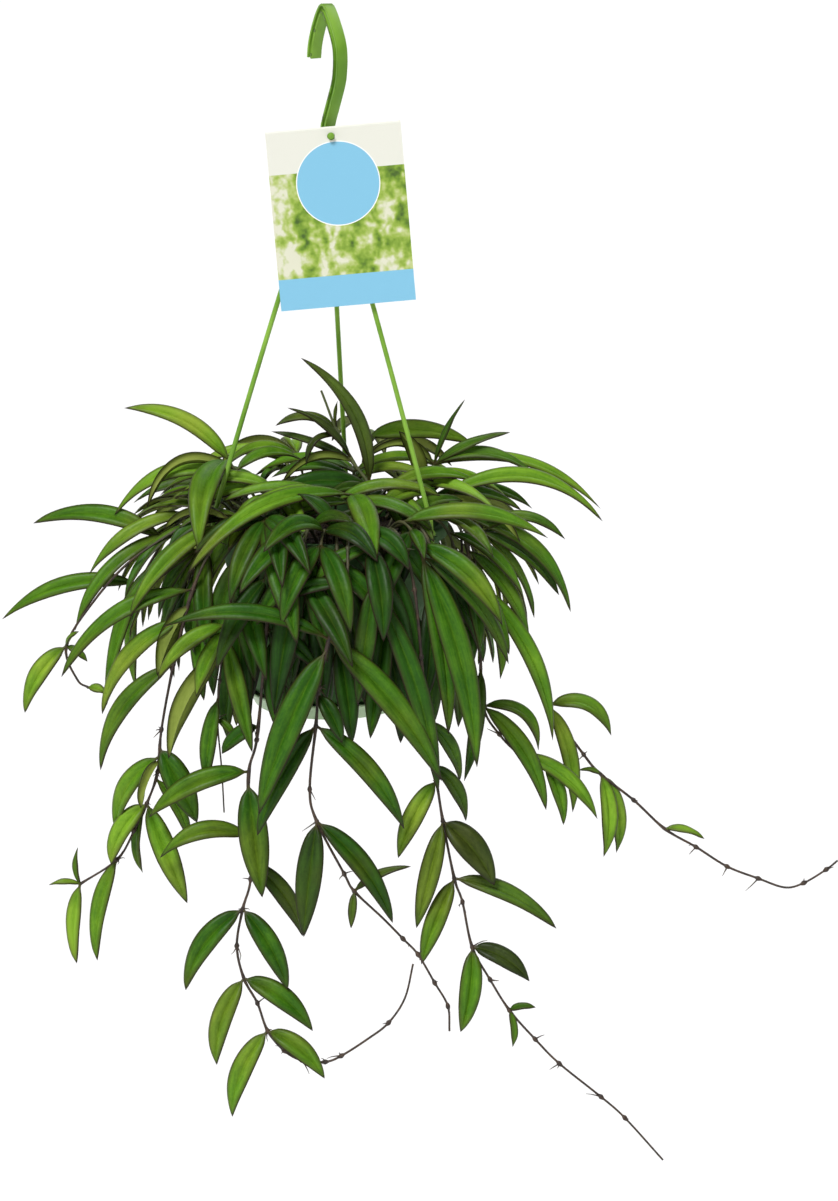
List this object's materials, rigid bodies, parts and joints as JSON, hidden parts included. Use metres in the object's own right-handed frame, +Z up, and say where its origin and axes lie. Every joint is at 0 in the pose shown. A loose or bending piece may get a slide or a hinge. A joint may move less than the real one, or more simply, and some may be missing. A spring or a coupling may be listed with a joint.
{
  "type": "potted hoya plant",
  "caption": "Trailing wax plant with narrow keeled leaves in a round plastic hanging pot with saucer, three-arm hook hanger and a blank folded label card.",
  "frame": {"origin": "the seat of the hook, where the hanger rests on the rail that carries the pot", "axes": "+Z up out of the hook and along the pot's axis, +Y from the front of the plant to its back, +X to the right"},
  "size_m": [0.5247, 0.2428, 0.7013],
  "materials": {
    "leaf": "satin",
    "stem": "matte",
    "hanger_plastic": "satin",
    "pot_plastic": "satin",
    "saucer_plastic": "satin",
    "soil": "matte",
    "card": "satin"
  },
  "bodies": {
    "root": {"crown_back_center": "leaf", "crown_back_left": "leaf", "crown_center": "leaf", "crown_front_left": "leaf", "crown_front_mid": "leaf", "crown_front_right": "leaf", "crown_left_front": "leaf", "crown_left_high": "leaf", "crown_left_low": "leaf", "crown_mid_back": "leaf", "crown_mid_far_left": "leaf", "crown_mid_far_right": "leaf", "crown_mid_front": "leaf", "crown_mid_left": "leaf", "crown_mid_right": "leaf", "crown_rear_left": "leaf", "crown_rear_mid": "leaf", "crown_rear_right": "leaf", "crown_right": "leaf", "crown_right_back": "leaf", "crown_right_drop": "leaf", "crown_right_front": "leaf", "crown_right_low": "leaf", "crown_rim_back_a": "leaf", "crown_rim_back_b": "leaf", "crown_rim_back_left": "leaf", "crown_rim_back_right": "leaf", "crown_rim_front_a": "leaf", "crown_rim_front_b": "leaf", "crown_rim_front_c": "leaf", "crown_rim_front_d": "leaf", "crown_rim_front_left": "leaf", "crown_rim_front_right": "leaf", "crown_rim_left": "leaf", "crown_rim_left_back": "leaf", "crown_rim_left_front": "leaf", "crown_rim_left_mid": "leaf", "crown_rim_right": "leaf", "crown_rim_right_back": "leaf", "crown_rim_right_front": "leaf", "crown_top": "leaf", "hanger": "hanger_plastic", "label_card": "card", "pot": "pot_plastic", "saucer": "saucer_plastic", "soil": "soil", "vine_back_left": "leaf", "vine_back_right": "leaf", "vine_far_left": "leaf", "vine_far_right": "leaf", "vine_front": "leaf", "vine_front_left": "leaf", "vine_front_right": "leaf", "vine_left": "leaf", "vine_left_thin": "leaf", "vine_right": "leaf"}
  },
  "joints": []
}
